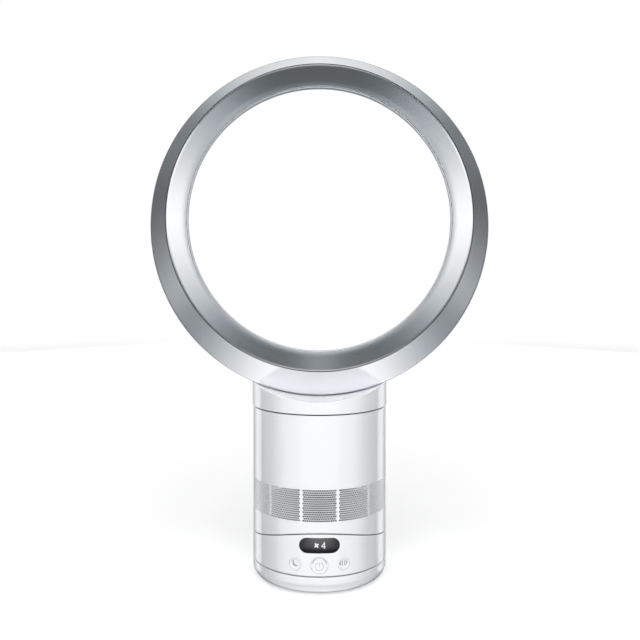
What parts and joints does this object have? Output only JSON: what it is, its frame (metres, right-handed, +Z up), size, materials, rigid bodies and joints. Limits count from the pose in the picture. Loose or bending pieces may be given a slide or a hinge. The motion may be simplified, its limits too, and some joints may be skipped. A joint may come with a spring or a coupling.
{
  "type": "bladeless fan",
  "caption": "Bladeless desk fan: a round air loop on a tilting, swinging cylindrical base with an intake band, display window and buttons.",
  "frame": {"origin": "on the floor, at the middle of the foot", "axes": "+Z up; the fan's front, with its buttons, faces -Y; +X to the viewer's right"},
  "size_m": [0.3546, 0.1446, 0.552],
  "materials": {
    "body_white": "glossy white moulded ABS",
    "loop_silver": "smooth pale silver-grey moulded ABS with a satin gloss",
    "window_black": "glossy black tinted window",
    "rubber_dark": "moulded dark rubber",
    "gear_plastic": "self-lubricating moulded plastic",
    "screw_steel": "zinc-plated steel",
    "bright_steel": "bright steel",
    "board_green": "solder-masked glass-fibre board",
    "part_dark": "moulded electronic parts",
    "lamp_white": "white light box",
    "foam_grey": "open-cell acoustic foam",
    "duct_plastic": "moulded grey plastic",
    "fan_plastic": "glass-filled moulded plastic",
    "copper": "enamelled copper winding"
  },
  "bodies": {
    "foot": {"foot_casing": "body_white", "foot_pads": "rubber_dark", "sector_gear": "gear_plastic", "gear_screws": "screw_steel", "pivot_spindle": "gear_plastic", "spindle_screws": "screw_steel", "retaining_washer": "bright_steel", "retaining_clip": "bright_steel", "glide_ring": "gear_plastic", "cord_gland": "rubber_dark"},
    "control_section": {"control_casing": "body_white", "turntable_plate": "gear_plastic", "pivot_bush": "gear_plastic", "cradle_plate": "gear_plastic", "tilt_pads": "rubber_dark", "base_screws": "screw_steel", "display_lens": "window_black", "display_board": "board_green", "display_leds": "lamp_white", "button_carrier": "gear_plastic", "button_boards": "board_green", "button_switches": "part_dark", "main_board": "board_green", "board_parts": "part_dark", "board_screws": "screw_steel", "stepper_motor": "bright_steel", "stepper_screws": "screw_steel"},
    "pinion": {"drive_pinion": "gear_plastic", "pinion_shaft": "bright_steel"},
    "power_key": {"power_button": "body_white"},
    "timer_key": {"timer_button": "body_white"},
    "swing_key": {"swing_button": "body_white"},
    "fan_body": {"body_casing": "body_white", "body_underpan": "gear_plastic", "tilt_hooks": "gear_plastic", "hook_screws": "screw_steel", "pan_screws": "screw_steel", "silencer_foam": "foam_grey", "housing_seal": "foam_grey", "impeller_housing": "duct_plastic", "motor_bucket": "duct_plastic", "bucket_lid": "duct_plastic", "diffuser": "duct_plastic", "motor_stator": "bright_steel", "motor_windings": "copper", "motor_bearings": "bright_steel", "bearing_bridge": "duct_plastic", "driver_board": "board_green", "locking_ring": "gear_plastic", "collar_gasket": "rubber_dark"},
    "rotor": {"impeller": "fan_plastic", "motor_shaft": "bright_steel", "rotor_magnet": "part_dark"},
    "loop": {"collar": "body_white", "neck_frame": "duct_plastic", "loop_shell": "loop_silver", "loop_duct": "loop_silver", "slit_spacers": "duct_plastic", "remote_magnets": "bright_steel"}
  },
  "joints": [
    {"name": "swing", "type": "hinge", "parent": "foot", "child": "control_section", "pos_m": [0, 0, 0.0206], "axis": [0, 0, 1], "range_deg": [-45, 45]},
    {"name": "pinion_turn", "type": "hinge", "parent": "control_section", "child": "pinion", "pos_m": [0, 0.0375, 0.0115], "axis": [0, 0, 1], "range_deg": [-185, 185]},
    {"name": "tilt", "type": "hinge", "parent": "control_section", "child": "fan_body", "pos_m": [0, 0, 0.2201], "axis": [1, 0, 0], "range_deg": [-10, 10]},
    {"name": "impeller_spin", "type": "hinge", "parent": "fan_body", "child": "rotor", "pos_m": [0, 0, 0.14], "axis": [0, 0, 1], "continuous": true},
    {"name": "loop_twist", "type": "hinge", "parent": "fan_body", "child": "loop", "pos_m": [0, 0, 0.1826], "axis": [0, 0, 1], "range_deg": [0, 25]},
    {"name": "power_press", "type": "slide", "parent": "control_section", "child": "power_key", "axis": [0, 1, 0], "range_m": [0, 0.0009], "stiffness_N_per_m": 1500},
    {"name": "timer_press", "type": "slide", "parent": "control_section", "child": "timer_key", "axis": [0.342, 0.9397, 0], "range_m": [0, 0.0009], "stiffness_N_per_m": 1500},
    {"name": "swing_press", "type": "slide", "parent": "control_section", "child": "swing_key", "axis": [-0.342, 0.9397, 0], "range_m": [0, 0.0009], "stiffness_N_per_m": 1500}
  ],
  "couplings": [
    {"joint": "pinion_turn", "follows": "swing", "ratio": 4}
  ]
}
